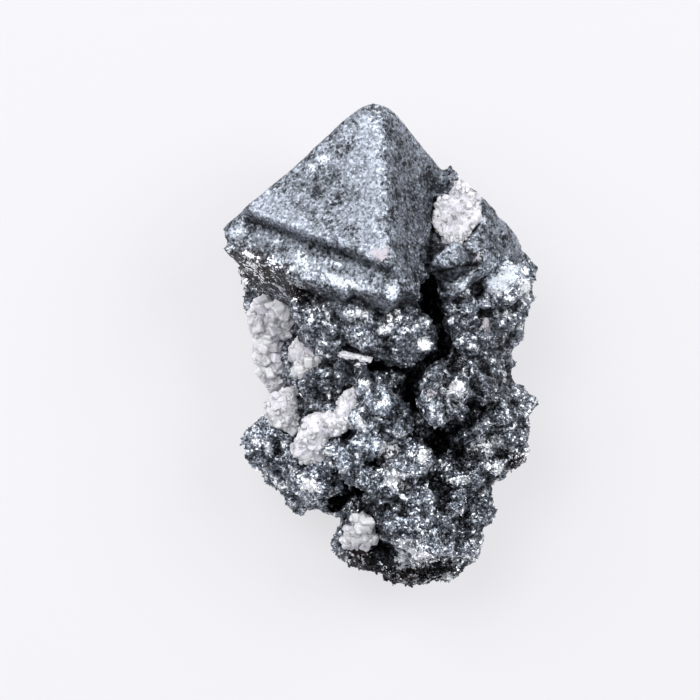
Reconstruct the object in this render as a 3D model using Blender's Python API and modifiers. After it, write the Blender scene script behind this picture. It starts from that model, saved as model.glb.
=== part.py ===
"""Hematite pseudomorph after magnetite (martite): stacked octahedra with pale crystals, lying on its back.

The specimen is about 50 mm long. Its large crystals grew in parallel, so all of them share the same eight
face directions. It lies with its show side up, +Z, and the tip of the main crystal points along +Y.
Lengths in the tables are millimetres.
"""

import math
import random

import bmesh
import bpy
from mathutils import Euler, Matrix, Vector, noise
from mathutils.bvhtree import BVHTree

MM = 0.001

# Driving dimensions, in millimetres
MAIN_REACH = 15.8  # centre of the main octahedron to each of its six corners
MAIN_CENTRE = Vector((-1.75, 11.2, 12.0))
TIER_STEP = 1.6  # the upper tier of the main crystal stands this far above the lower one
TIER_RISER = 5.75  # the upper tier ends this far from the centre, on its lower left side
SEAT_GAP = 0.3  # free space between a pale crystal and its socket in the hematite
ROUGH_CELL = 0.8  # size of the smallest bumps on the rough growth
ROUGH_RELIEF = 0.55
BROAD_WAVES = 0.45  # waves on a millimetre, for the broad and the fine unevenness of the rough growth
FINE_WAVES = 1.3
KNOB_TURN = 0.35  # radians that a rounded crystal is turned from the shared orientation at most
KNOB_FULLNESS = 1.12  # makes up for the size that rounding takes from a knob
ROUGH_KEEP = 0.2  # share of the rough growth's facets that is kept
DRUSE_COUNT = 50
DRUSE_SIZE = (0.7, 1.5)
DRUSE_SEED = 43
FLOOR_CUTTER = 80.0

# The crystal axes, from the centre of an octahedron to its tip, left and front corners
TIP = Vector((0.120, 0.894, 0.431))
LEFT = Vector((-0.969, 0.012, 0.245))
FRONT = TIP.cross(LEFT).normalized()
LEFT = FRONT.cross(TIP).normalized()
CRYSTAL_AXES = Matrix((TIP, LEFT, FRONT)).transposed()

# The eight octahedron faces, each as the signs of its normal along TIP, LEFT and FRONT
UPPER_LEFT = (1, 1, 1)
UPPER_RIGHT = (1, -1, 1)
UPPER_BACK_LEFT = (1, 1, -1)
UPPER_BACK_RIGHT = (1, -1, -1)
LOWER_LEFT = (-1, 1, 1)
LOWER_RIGHT = (-1, -1, 1)
LOWER_BACK_LEFT = (-1, 1, -1)
LOWER_BACK_RIGHT = (-1, -1, -1)
FACES = (
    UPPER_LEFT,
    UPPER_RIGHT,
    UPPER_BACK_LEFT,
    UPPER_BACK_RIGHT,
    LOWER_LEFT,
    LOWER_RIGHT,
    LOWER_BACK_LEFT,
    LOWER_BACK_RIGHT,
)

# Smooth-faced crystals beside the main one: centre, reach, and faces set in (-) or out (+)
SMOOTH_CRYSTALS = {
    "left_shoulder": ((-5.4, 9.9, 12.0), 11.0, {}),
    "right_crystal": ((7.3, 9.5, 14.0), 9.4, {UPPER_LEFT: -2.2, LOWER_RIGHT: -1.2}),
    "right_block": ((7.3, 9.0, 18.6), 3.3, {UPPER_BACK_LEFT: -0.8, UPPER_BACK_RIGHT: -0.8}),
    "right_facet": ((13.2, 5.7, 13.4), 5.0, {UPPER_BACK_RIGHT: -1.3, LOWER_RIGHT: -1.3, LOWER_LEFT: -0.6}),
}

# Rough octahedral blocks, rounded over by small growth: centre, reach, and shifted faces
ROUGH_BLOCKS = (
    # three terraces at the waist, below the front corner of the main crystal
    ((-2.4, 5.4, 14.6), 7.4, {}),
    ((-1.8, 3.3, 14.0), 8.0, {}),
    ((-1.0, 1.4, 13.3), 8.3, {UPPER_RIGHT: -1.4}),
    # the left flank, behind the pale crystals
    ((-9.2, 7.4, 6.8), 6.4, {}),
    ((-8.6, 4.0, 6.8), 6.4, {}),
    ((-8.0, 0.8, 7.0), 6.0, {}),
    ((-7.4, -2.4, 7.4), 5.4, {}),
    # the left foot, with its sharp corner
    ((-7.1, -10.2, 8.7), 8.7, {UPPER_LEFT: -1.2}),
    ((-4.6, -14.6, 8.0), 4.2, {}),
    # the middle block and the ridge beside the pale vein
    ((0.3, -6.7, 14.4), 4.8, {}),
    ((-2.9, -10.8, 13.4), 4.0, {}),
    # the right flank
    ((11.4, 1.8, 11.6), 4.4, {}),
    ((8.0, -13.0, 10.2), 4.4, {}),
    # the bottom block
    ((3.9, -17.8, 9.8), 8.4, {}),
    # the hidden back
    ((2.5, -1.0, 6.0), 9.0, {}),
    ((8.5, 3.5, 6.0), 7.5, {}),
    ((2.0, -10.0, 6.4), 8.5, {}),
    ((9.0, -7.0, 6.2), 6.0, {}),
    ((-4.0, -5.0, 6.6), 7.0, {}),
)

# Rounded growths between the blocks: x, y, z of the centre and the radius
ROUGH_KNOBS = (
    # below the front corner of the main crystal
    (2.4, 2.0, 17.4, 3.3),
    (3.2, -1.2, 17.0, 2.2),
    (4.7, 0.4, 17.4, 1.5),
    (-5.6, 2.6, 15.4, 2.8),
    # on and below the right crystal
    (7.2, 17.7, 12.6, 1.0),
    (8.2, 4.6, 15.4, 2.3),
    (8.2, 1.7, 15.0, 2.6),
    (10.8, -0.4, 12.8, 2.3),
    (13.2, 4.4, 12.2, 2.8),
    (15.2, 7.4, 10.6, 1.3),
    (12.0, -1.8, 10.6, 2.5),
    (8.2, -1.0, 12.6, 2.2),
    # the round group right of the middle crevice
    (6.2, -5.0, 15.4, 2.8),
    (5.9, -2.8, 17.6, 1.5),
    (5.2, -4.8, 17.8, 1.4),
    (6.4, -6.3, 17.2, 2.1),
    (8.4, -4.2, 17.0, 1.8),
    (10.4, -4.0, 13.4, 2.7),
    # the right foot
    (12.8, -6.4, 11.2, 3.2),
    (12.9, -8.6, 11.0, 3.1),
    (13.1, -10.6, 10.4, 2.6),
    (10.3, -8.2, 12.0, 2.5),
    (11.8, -11.8, 11.2, 2.1),
    (12.5, -13.0, 10.6, 1.3),
    # the middle
    (-0.6, -4.6, 16.4, 2.1),
    (-4.2, -3.7, 11.2, 3.9),
    (-5.4, -7.8, 13.6, 2.8),
    (3.2, -12.0, 14.6, 2.9),
    (0.2, -14.2, 14.4, 2.8),
    # the bottom
    (3.0, -18.6, 15.2, 2.4),
    (9.8, -16.9, 10.6, 2.6),
    (8.6, -19.6, 10.0, 2.7),
    (1.4, -21.7, 9.4, 2.9),
    (4.2, -22.1, 9.6, 2.9),
    (6.6, -21.6, 9.8, 2.8),
    (-2.1, -20.4, 9.4, 2.8),
)

# Narrow dark gaps between the lumps. Each runs along its points: x, y, width and the height of the bottom
CREVICES = (
    # the deep hole under the front corner of the main crystal, and the gap that runs down from it
    (
        (5.0, 6.2, 1.8, 8.0),
        (5.6, 4.2, 1.9, 8.0),
        (6.2, 2.6, 1.2, 9.5),
        (6.5, 0.9, 0.7, 11.0),
        (6.8, -0.6, 1.0, 12.0),
        (5.3, -1.5, 1.0, 12.0),
        (4.0, -2.1, 1.3, 11.5),
        (3.3, -3.6, 1.4, 11.0),
        (3.3, -5.6, 1.1, 11.5),
        (4.3, -7.6, 0.7, 12.5),
    ),
    # its branch to the left, below the waist
    ((3.3, -2.5, 0.9, 12.5), (1.2, -2.3, 0.8, 13.0), (-0.9, -1.8, 0.6, 13.5)),
    # below the round group
    ((4.9, -8.3, 0.7, 12.0), (6.6, -8.9, 1.3, 11.0), (6.4, -10.9, 0.9, 11.5)),
    ((6.6, -8.9, 0.7, 11.5), (9.2, -7.9, 0.7, 11.5), (10.8, -6.4, 0.6, 11.5)),
    # above the bottom block on the left
    ((-4.9, -16.6, 1.4, 7.5), (-3.0, -15.3, 1.2, 8.5), (-1.4, -14.9, 0.8, 10.0)),
)
CREVICE_LEAN = 0.03  # the walls lean outwards, so that a gap is widest at its mouth
CREVICE_POINT = 0.6  # how far a gap's pointed ends turn from square, 0 being square
PLATE_BLANK = 20.0  # the block that the flat crust and the sliver are cut from

# Pale mineral groups. Each is a chain of grains seated on the hematite: x, y and the radius
PALE_GROUPS = {
    "pale_crystals_left": (
        (-11.7, 4.1, 0.9),
        (-10.1, 3.4, 1.15),
        (-12.0, 2.5, 1.1),
        (-10.4, 1.7, 1.0),
        (-11.4, 0.6, 1.3),
        (-11.5, -0.7, 1.25),
        (-11.2, -2.3, 1.1),
        (-10.6, -3.6, 0.85),
    ),
    "pale_crystals_upper": (
        (-7.8, -0.6, 1.2),
        (-7.4, -2.0, 1.1),
        (-6.0, -1.2, 0.95),
    ),
    "pale_knob_left": (
        (-9.2, -5.2, 0.85),
        (-10.0, -6.5, 1.4),
        (-9.1, -7.8, 0.9),
    ),
    "pale_vein": (
        (-2.9, -5.2, 0.75),
        (-3.1, -6.3, 0.85),
        (-3.8, -7.4, 1.05),
        (-5.0, -7.9, 1.2),
        (-6.4, -8.0, 1.2),
        (-6.8, -9.3, 1.35),
        (-7.5, -10.4, 1.2),
        (-6.5, -11.0, 1.0),
    ),
    "pale_crystals_bottom": (
        (-1.4, -18.4, 1.05),
        (-1.3, -19.7, 0.85),
        (-2.6, -19.7, 1.2),
    ),
}
GRAIN_LIFT = 0.15  # a grain's centre lies this share of its radius above the hematite
GRAIN_STEP = 0.6  # neighbours in a chain differ in height by this share of their radius at most
# The flat crust on the upper left face of the right crystal, by its distances to eight sides from +X on
CRUST_SPOT = (8.15, 13.4)
CRUST_THICKNESS = 1.0
CRUST_SIDES = (2.2, 2.5, 3.0, 1.95, 2.3, 2.6, 3.0, 1.95)
# The sliver in the crevice below the waist
SLIVER_SPOTS = ((-3.9, -0.7), (-0.7, -1.4))
SLIVER_RADIUS = 0.5


def clear_scene():
    for leftover in list(bpy.data.objects):
        bpy.data.objects.remove(leftover)


def new_collection(name):
    collection = bpy.data.collections.new(name)
    bpy.context.scene.collection.children.link(collection)
    return collection


def new_material(name, colour, roughness, metallic):
    material = bpy.data.materials.new(name)
    material.use_nodes = True
    shader = material.node_tree.nodes["Principled BSDF"]
    shader.inputs["Base Color"].default_value = (*colour, 1.0)
    shader.inputs["Roughness"].default_value = roughness
    shader.inputs["Metallic"].default_value = metallic
    return material


def add_object(name, shape, collection, material=None, helper=False):
    """Turns a bmesh in millimetres into an object in metres, made of flat triangles."""
    bmesh.ops.triangulate(shape, faces=shape.faces)
    bmesh.ops.transform(shape, matrix=Matrix.Scale(MM, 4), verts=shape.verts)
    mesh = bpy.data.meshes.new(name)
    shape.to_mesh(mesh)
    shape.free()
    if material is not None:
        mesh.materials.append(material)
    placed = bpy.data.objects.new(name, mesh)
    collection.objects.link(placed)
    if helper:
        placed.hide_render = True
        placed.display_type = "WIRE"
    return placed


def evaluated_shape(source):
    """The finished mesh of an object with modifiers, as a bmesh in millimetres."""
    bpy.context.view_layer.update()
    graph = bpy.context.evaluated_depsgraph_get()
    mesh = bpy.data.meshes.new_from_object(source.evaluated_get(graph))
    shape = bmesh.new()
    shape.from_mesh(mesh)
    bpy.data.meshes.remove(mesh)
    bmesh.ops.transform(shape, matrix=Matrix.Scale(1 / MM, 4), verts=shape.verts)
    return shape


def face_normal(signs):
    return (CRYSTAL_AXES @ Vector(signs)).normalized()


def cut_block(centre, planes, size):
    """A block cut by planes, each a normal and its distance from the centre: a crystal or a broken grain."""
    shape = bmesh.new()
    bmesh.ops.create_cube(shape, size=size, matrix=Matrix.Translation(centre))
    for normal, distance in planes:
        everything = shape.verts[:] + shape.edges[:] + shape.faces[:]
        cut = bmesh.ops.bisect_plane(
            shape,
            geom=everything,
            plane_co=centre + normal * distance,
            plane_no=normal,
            clear_outer=True,
        )
        rim = [part for part in cut["geom_cut"] if isinstance(part, bmesh.types.BMEdge)]
        if rim:
            bmesh.ops.holes_fill(shape, edges=rim, sides=0)
    bmesh.ops.recalc_face_normals(shape, faces=shape.faces)
    return shape


def octahedron(centre, reach, shifts=None, extra_planes=()):
    """An octahedral crystal in the shared orientation, with single faces shifted in or out."""
    shifts = shifts or {}
    planes = [(face_normal(signs), reach / math.sqrt(3) + shifts.get(signs, 0.0)) for signs in FACES]
    return cut_block(Vector(centre), planes + list(extra_planes), size=4 * reach)


def knob(centre, radius, seed, roundness=1.4, unevenness=0.18):
    """A rounded octahedron with an uneven surface. A roundness of 1 is an octahedron and 2 a sphere."""
    shape = bmesh.new()
    bmesh.ops.create_icosphere(shape, subdivisions=3, radius=1.0)
    turn = Euler((KNOB_TURN * math.sin(seed), KNOB_TURN * math.cos(2.1 * seed), 0.3 * math.sin(3.7 * seed)))
    axes = turn.to_matrix() @ CRYSTAL_AXES
    for corner in shape.verts:
        direction = corner.co.normalized()
        along = axes.transposed() @ direction
        rounded = sum(abs(share) ** roundness for share in along) ** (-1 / roundness)
        uneven = 1 + unevenness * noise.noise(direction * 1.7 + Vector((seed * 7.3, seed, 0)))
        corner.co = Vector(centre) + direction * radius * rounded * uneven * KNOB_FULLNESS
    return shape


def grain_planes(radius, seed, faces=11):
    """The planes of a broken, blocky grain: evenly spread directions with uneven distances."""
    chance = random.Random(seed)
    golden = math.pi * (3 - math.sqrt(5))
    planes = []
    for number in range(faces):
        height = 1 - 2 * (number + 0.5) / faces
        across = math.sqrt(1 - height * height)
        turn = golden * number + seed
        normal = Vector((across * math.cos(turn), across * math.sin(turn), height))
        planes.append((normal, radius * chance.uniform(0.78, 1.0)))
    return planes


def grown(planes, margin):
    return [(normal, distance + margin) for normal, distance in planes]


def crust_planes():
    """A thin plate with an irregular outline, lying in the plane of the upper left face."""
    up = face_normal(UPPER_LEFT)
    along = up.cross(Vector((1.0, 0.0, 0.0))).normalized()
    across = along.cross(up)
    planes = [(up, CRUST_THICKNESS / 2), (-up, CRUST_THICKNESS / 2)]
    for number, distance in enumerate(CRUST_SIDES):
        turn = 2 * math.pi * number / len(CRUST_SIDES)
        planes.append((across * math.cos(turn) + along * math.sin(turn), distance))
    return planes


def sliver_planes(start, end):
    """A narrow six-sided splinter between its two ends."""
    length = (end - start).length
    direction = (end - start) / length
    across = direction.cross(Vector((0.0, 0.0, 1.0))).normalized()
    up = across.cross(direction)
    planes = [(direction, length / 2), (-direction, length / 2)]
    for number in range(6):
        turn = math.pi * number / 3
        planes.append((up * math.cos(turn) + across * math.sin(turn), SLIVER_RADIUS))
    return planes


def surface_height(tree, x, y):
    """How high the hematite stands at x and y."""
    hit, _, _, _ = tree.ray_cast(Vector((x, y, FLOOR_CUTTER)), Vector((0.0, 0.0, -1.0)))
    return hit.z


def boolean(target, name, operation, collection):
    modifier = target.modifiers.new(name, "BOOLEAN")
    modifier.operand_type = "COLLECTION"
    modifier.operation = operation
    modifier.solver = "EXACT"
    modifier.collection = collection
    target.modifiers.new(f"{name}_in_triangles", "TRIANGULATE")


def make_main_crystal(collection, material):
    """The large octahedron's lower tier. Its upper left face is set in by the step."""
    shape = octahedron(
        MAIN_CENTRE,
        MAIN_REACH,
        {
            UPPER_LEFT: -TIER_STEP,
            UPPER_RIGHT: -0.4,
            UPPER_BACK_LEFT: 0.2,
            UPPER_BACK_RIGHT: -0.1,
            LOWER_LEFT: -0.9,
            LOWER_RIGHT: -0.5,
        },
        ((TIP, MAIN_REACH - 1.5), (LEFT, MAIN_REACH - 0.9)),
    )
    return add_object("hematite_crystals", shape, collection, material)


def make_upper_tier(collection):
    """The raised pyramid: the same octahedron, ending at a riser across the upper left face."""
    riser_shift = TIER_RISER - MAIN_REACH / math.sqrt(3)
    shape = octahedron(
        MAIN_CENTRE,
        MAIN_REACH,
        {LOWER_LEFT: riser_shift, UPPER_RIGHT: -0.25, UPPER_BACK_LEFT: 0.1, UPPER_BACK_RIGHT: -0.25},
        ((TIP, MAIN_REACH - 1.2),),
    )
    add_object("upper_tier", shape, collection, helper=True)


def append_shape(whole, extra):
    """Adds one bmesh to another and frees it."""
    mesh = bpy.data.meshes.new("passing")
    extra.to_mesh(mesh)
    extra.free()
    whole.from_mesh(mesh)
    bpy.data.meshes.remove(mesh)


def make_rough_growth(collection):
    """The lower mass: blocks and knobs melted together, then roughened and reduced to flat facets."""
    cage = bmesh.new()
    for centre, reach, shifts in ROUGH_BLOCKS:
        append_shape(cage, octahedron(centre, reach, shifts))
    for number, (x, y, z, radius) in enumerate(ROUGH_KNOBS):
        append_shape(cage, knob((x, y, z), radius, seed=number + 1))
    source = add_object("rough_cage", cage, collection, helper=True)
    remesh = source.modifiers.new("melt_together", "REMESH")
    remesh.mode = "VOXEL"
    remesh.voxel_size = ROUGH_CELL * MM
    shape = evaluated_shape(source)
    bpy.data.objects.remove(source)
    shape.normal_update()
    for corner in shape.verts:
        broad = noise.noise(corner.co * BROAD_WAVES)
        fine = noise.noise(corner.co * FINE_WAVES + Vector((9.0, 4.0, 2.0)))
        corner.co += corner.normal * ROUGH_RELIEF * (broad + 0.8 * fine - 0.1)
    growth = add_object("rough_growth", shape, collection, helper=True)
    fewer = growth.modifiers.new("fewer_facets", "DECIMATE")
    fewer.ratio = ROUGH_KEEP
    fewer.use_collapse_triangulate = True
    return growth


def scattered_points(target, count, seed):
    """Seeded points spread evenly over the surface of an evaluated object, with their normals."""
    shape = evaluated_shape(target)
    chance = random.Random(seed)
    faces = [face for face in shape.faces if face.calc_area() > 0]
    picked = chance.choices(faces, weights=[face.calc_area() for face in faces], k=count)
    points = []
    for face in picked:
        shares = [chance.random() for _ in face.verts]
        total = sum(shares)
        spot = sum((corner.co * share for corner, share in zip(face.verts, shares)), Vector()) / total
        points.append((spot, face.normal.copy()))
    shape.free()
    return points


def make_druse(growth, collection):
    """Small octahedra, half sunk in the rough growth, all near the shared orientation."""
    chance = random.Random(DRUSE_SEED)
    number = 0
    for point, normal in scattered_points(growth, DRUSE_COUNT * 3, DRUSE_SEED):
        size = chance.uniform(*DRUSE_SIZE)
        turn = Euler([chance.uniform(-0.4, 0.4) for _ in range(3)]).to_matrix()
        deepest = max(face_normal(signs).dot(point - MAIN_CENTRE) for signs in FACES)
        if deepest < MAIN_REACH / math.sqrt(3) + 0.8 or point.z < 1.5 or number == DRUSE_COUNT:
            continue
        shape = bmesh.new()
        bmesh.ops.create_uvsphere(shape, u_segments=4, v_segments=2, radius=size)
        placing = Matrix.Translation(point - normal * size * 0.3) @ (turn @ CRYSTAL_AXES).to_4x4()
        bmesh.ops.transform(shape, matrix=placing, verts=shape.verts)
        bmesh.ops.recalc_face_normals(shape, faces=shape.faces)
        add_object(f"druse_{number:03d}", shape, collection, helper=True)
        number += 1


def grain_heights(tree, grains):
    """Seats each grain on the hematite, but keeps neighbours in the chain close enough to touch."""
    heights = []
    for x, y, radius in grains:
        height = surface_height(tree, x, y) + GRAIN_LIFT * radius
        if heights:
            lowest = heights[-1] - GRAIN_STEP * radius
            height = min(max(height, lowest), lowest + 2 * GRAIN_STEP * radius)
        heights.append(height)
    return heights


def make_pale_group(name, grains, tree, part_collection, socket_collection, material):
    """A chain of pale grains joined into one solid, and the wider socket that the hematite leaves for it."""
    chain = new_collection(f"{name}_grains")
    for number, ((x, y, radius), z) in enumerate(zip(grains, grain_heights(tree, grains))):
        centre = Vector((x, y, z))
        planes = grain_planes(radius, seed=11 * len(name) + number)
        if number == 0:
            body = add_object(name, cut_block(centre, planes, 4 * radius), part_collection, material)
        else:
            shape = cut_block(centre, planes, 4 * radius)
            add_object(f"{name}_grain_{number}", shape, chain, helper=True)
        socket = cut_block(centre, grown(planes, SEAT_GAP), 4 * radius)
        add_object(f"{name}_socket_{number}", socket, socket_collection, helper=True)
    boolean(body, "join_grains", "UNION", chain)


def make_pale_plate(name, centre, planes, part_collection, socket_collection, material):
    add_object(name, cut_block(centre, planes, PLATE_BLANK), part_collection, material)
    socket = cut_block(centre, grown(planes, SEAT_GAP), PLATE_BLANK)
    add_object(f"{name}_socket", socket, socket_collection, helper=True)


def trench(start, end, start_width, end_width):
    """An upright wedge between two points of a crevice's bottom, with pointed ends."""
    up = Vector((0.0, 0.0, 1.0))
    middle = (start + end) / 2
    direction = (end - start).normalized()
    across = direction.cross(up).normalized()
    forwards = up.cross(across)
    half_length = (end - start).dot(forwards) / 2
    width = (start_width + end_width) / 2
    planes = [(direction.cross(across), 0.0), (up, 2 * MAIN_REACH - middle.z)]
    for side in (-1, 1):
        wall = across * side - up * CREVICE_LEAN
        planes.append((wall.normalized(), width / 2))
        for end_side in (-1, 1):
            corner = across * side * CREVICE_POINT + forwards * end_side - up * CREVICE_LEAN
            planes.append((corner.normalized(), half_length * 0.86 + width * 0.3))
    return cut_block(middle, planes, 4 * MAIN_REACH)


def make_crevice_cutters(collection):
    """The dark gaps between the lumps: a chain of wedges along each crevice's points."""
    for number, points in enumerate(CREVICES):
        for step, (start, end) in enumerate(zip(points, points[1:])):
            wedge = trench(
                Vector((start[0], start[1], start[3])),
                Vector((end[0], end[1], end[3])),
                start[2],
                end[2],
            )
            add_object(f"crevice_{number}_{step}", wedge, collection, helper=True)


def make_floor_cutter(collection):
    """Everything below z = 0 is cut off, which leaves the small flats that the specimen rests on."""
    shape = bmesh.new()
    below = Matrix.Translation((0, 0, -FLOOR_CUTTER / 2))
    bmesh.ops.create_cube(shape, size=FLOOR_CUTTER, matrix=below)
    add_object("floor_cutter", shape, collection, helper=True)


def main():
    clear_scene()
    parts = new_collection("hematite_pseudomorph")
    growths = new_collection("growths")
    druse = new_collection("druse")
    cutters = new_collection("cutters")
    hematite = new_material("hematite", (0.16, 0.17, 0.19), 0.45, 0.9)
    pale = new_material("pale_mineral", (0.78, 0.75, 0.77), 0.5, 0.0)

    body = make_main_crystal(parts, hematite)
    make_upper_tier(growths)
    for name, (centre, reach, shifts) in SMOOTH_CRYSTALS.items():
        add_object(name, octahedron(centre, reach, shifts), growths, helper=True)
    growth = make_rough_growth(growths)
    make_druse(growth, druse)
    boolean(body, "join_growths", "UNION", growths)
    boolean(body, "join_druse", "UNION", druse)

    uncut = evaluated_shape(body)
    tree = BVHTree.FromBMesh(uncut)
    uncut.free()
    for name, grains in PALE_GROUPS.items():
        make_pale_group(name, grains, tree, parts, cutters, pale)
    x, y = CRUST_SPOT
    crust_centre = Vector((x, y, surface_height(tree, x, y)))
    make_pale_plate("pale_crust_right", crust_centre, crust_planes(), parts, cutters, pale)
    start, end = (Vector((x, y, surface_height(tree, x, y))) for x, y in SLIVER_SPOTS)
    make_pale_plate("pale_sliver", (start + end) / 2, sliver_planes(start, end), parts, cutters, pale)
    make_crevice_cutters(cutters)
    make_floor_cutter(cutters)
    boolean(body, "cut_sockets_and_floor", "DIFFERENCE", cutters)


main()
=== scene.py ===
# %% [markdown]
# # Hematite after magnetite, with pale mineral grains
#
# The specimen is a loose piece, about 50 mm long, that lies on its back. Magnetite octahedra were replaced by
# hematite without losing their outlines, so the big faces are flat but finely pitted, and the metal-grey
# surface throws back light from thousands of small facets. Below the big crystal the same mineral grew as a
# rough, sparkling mass. Pale milky grains of another mineral sit in its hollows.
#
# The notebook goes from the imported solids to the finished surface: first the tools and the camera, then the
# hematite skin, its small crystals, the pale grains, and last the floor and the lights.

# %% The frame that every piece is built on
import math
import random

import bmesh
import bpy
import numpy as np
from mathutils import Matrix, Vector, noise
from mathutils.bvhtree import BVHTree


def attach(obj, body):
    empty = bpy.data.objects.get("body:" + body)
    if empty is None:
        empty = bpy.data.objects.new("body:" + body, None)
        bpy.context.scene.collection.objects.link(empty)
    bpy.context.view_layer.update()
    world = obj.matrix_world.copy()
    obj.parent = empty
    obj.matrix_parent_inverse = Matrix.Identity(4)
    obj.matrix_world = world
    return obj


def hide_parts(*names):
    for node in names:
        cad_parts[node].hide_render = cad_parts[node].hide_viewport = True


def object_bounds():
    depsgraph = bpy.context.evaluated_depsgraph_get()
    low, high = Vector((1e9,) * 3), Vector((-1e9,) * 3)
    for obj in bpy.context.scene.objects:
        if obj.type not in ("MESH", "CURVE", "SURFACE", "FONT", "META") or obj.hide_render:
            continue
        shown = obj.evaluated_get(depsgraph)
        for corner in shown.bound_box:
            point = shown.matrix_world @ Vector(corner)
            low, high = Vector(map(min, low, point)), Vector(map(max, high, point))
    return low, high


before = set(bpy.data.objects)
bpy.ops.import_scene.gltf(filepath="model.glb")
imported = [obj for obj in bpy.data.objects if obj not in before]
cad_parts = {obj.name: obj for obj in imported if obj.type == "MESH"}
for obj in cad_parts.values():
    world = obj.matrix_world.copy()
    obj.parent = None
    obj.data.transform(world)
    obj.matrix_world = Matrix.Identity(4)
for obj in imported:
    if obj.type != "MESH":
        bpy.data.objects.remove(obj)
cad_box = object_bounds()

MM = 0.001
print("nodes:", ", ".join(sorted(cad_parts)))
print("box in mm:", [round(value / MM, 1) for corner in cad_box for value in corner])

# %% [markdown]
# ## Directions shared by all big crystals
#
# Crystals that grow in parallel show the same eight face directions. Three axes at right angles are enough to
# find them all, because each octahedron face looks between three axes. The finish needs these directions to
# know where a smooth crystal face ends and the rough growth begins.

# %% The crystal axes and the eight face directions
TIP = Vector((0.120, 0.894, 0.431))
LEFT = Vector((-0.969, 0.012, 0.245))
FRONT = TIP.cross(LEFT).normalized()
LEFT = FRONT.cross(TIP).normalized()

FACE_NORMALS = [
    (TIP * tip + LEFT * left + FRONT * front).normalized()
    for tip in (1, -1)
    for left in (1, -1)
    for front in (1, -1)
]
print("upper left face looks along", [round(value, 2) for value in FACE_NORMALS[0]])

# %% [markdown]
# ## Small helpers
#
# Colours are easier to judge as sRGB hex values, the way a colour picker shows them, but a shader works in
# linear light. One function turns the first into the second. Another adds a node with its settings and links
# in one call, and a few more stand for the nodes that come back again and again, so that each material below
# reads like a recipe.


# %% Colour, object and node helpers
def linear(hex_colour):
    """The linear colour of an sRGB hex value such as 7c818a."""
    shares = [int(hex_colour[start : start + 2], 16) / 255 for start in (0, 2, 4)]
    curve = [share / 12.92 if share <= 0.04045 else ((share + 0.055) / 1.055) ** 2.4 for share in shares]
    return (*curve, 1.0)


def add_node(tree, kind, settings=None, inputs=None):
    """Adds a node. Settings are its properties, inputs its sockets: a value, or another node's output."""
    node = tree.nodes.new(kind)
    for name, value in (settings or {}).items():
        setattr(node, name, value)
    for name, value in (inputs or {}).items():
        socket = node.inputs[name]
        if isinstance(value, bpy.types.NodeSocket):
            tree.links.new(value, socket)
        else:
            socket.default_value = value
    return node


def new_material(name):
    """An empty material: its tree, and its output node."""
    material = bpy.data.materials.new(name)
    material.use_nodes = True
    material.node_tree.nodes.clear()
    output = material.node_tree.nodes.new("ShaderNodeOutputMaterial")
    return material, material.node_tree, output


def end_in_shader(tree, output, inputs):
    """Ends a material in the one physically based shader."""
    shader = add_node(tree, "ShaderNodeBsdfPrincipled", {}, inputs)
    tree.links.new(shader.outputs["BSDF"], output.inputs["Surface"])


def attribute(tree, name):
    """The value of that name that is stored on the mesh."""
    return add_node(tree, "ShaderNodeAttribute", {"attribute_name": name}).outputs["Fac"]


def combined(tree, operation, first, second):
    """One step of arithmetic on two values."""
    return add_node(tree, "ShaderNodeMath", {"operation": operation}, {0: first, 1: second}).outputs[0]


def added(tree, first, second):
    """The sum of two directions."""
    return add_node(tree, "ShaderNodeVectorMath", {"operation": "ADD"}, {0: first, 1: second}).outputs[0]


def scaled(tree, vector, factor):
    """A direction or a colour, times a factor."""
    inputs = {0: vector, "Scale": factor}
    return add_node(tree, "ShaderNodeVectorMath", {"operation": "SCALE"}, inputs).outputs[0]


def carried(tree, value, old=(0.0, 1.0), new=(0.0, 1.0), smooth=False):
    """A value carried from its old range to a new one, and held at the ends of it."""
    return add_node(
        tree,
        "ShaderNodeMapRange",
        {"interpolation_type": "SMOOTHSTEP" if smooth else "LINEAR"},
        {"Value": value, "From Min": old[0], "From Max": old[1], "To Min": new[0], "To Max": new[1]},
    ).outputs["Result"]


def cells(tree, position, size):
    """A pattern of cells of a size in mm: its colour is one random colour a cell."""
    inputs = {"Vector": position, "Scale": 1 / (size * MM)}
    return add_node(tree, "ShaderNodeTexVoronoi", {"feature": "F1"}, inputs).outputs


def clouds(tree, position, size, detail, roughness):
    """Noise whose widest clouds have a size in mm."""
    inputs = {"Vector": position, "Scale": 1 / (size * MM), "Detail": detail, "Roughness": roughness}
    return add_node(tree, "ShaderNodeTexNoise", {}, inputs).outputs["Fac"]


def weighted_sum(tree, parts):
    """The sum of several values, each times its weight."""
    total = 0.0
    for value, weight in parts:
        inputs = {0: value, 1: weight, 2: total}
        total = add_node(tree, "ShaderNodeMath", {"operation": "MULTIPLY_ADD"}, inputs).outputs[0]
    return total


def mixed_colour(tree, factor, first, second):
    """The first colour where the factor is 0, the second where it is 1."""
    inputs = {"Factor": factor, 6: first, 7: second}
    return add_node(tree, "ShaderNodeMix", {"data_type": "RGBA"}, inputs).outputs[2]


def linked(name, data):
    """A new object in the scene, at the origin."""
    piece = bpy.data.objects.new(name, data)
    bpy.context.scene.collection.objects.link(piece)
    return piece


def triangle_count(mesh):
    """How many triangles the faces of a mesh make."""
    return sum(len(face.vertices) - 2 for face in mesh.polygons)


# %% [markdown]
# ## The camera
#
# The photograph looks straight at the show side from about 45 cm, with a long lens, so the camera hangs above
# the specimen and looks down. The field is 72 mm wide at the height of the big crystal's middle.

# %% The camera
FIELD_WIDTH = 72.24 * MM
CAMERA_DISTANCE = 450 * MM
CRYSTAL_HEIGHT = 12 * MM
AIM = Vector((-2.89, -0.36, 0)) * MM
SENSOR = 36.0  # mm
NEAREST = 0.01
FARTHEST = 10.0

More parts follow.
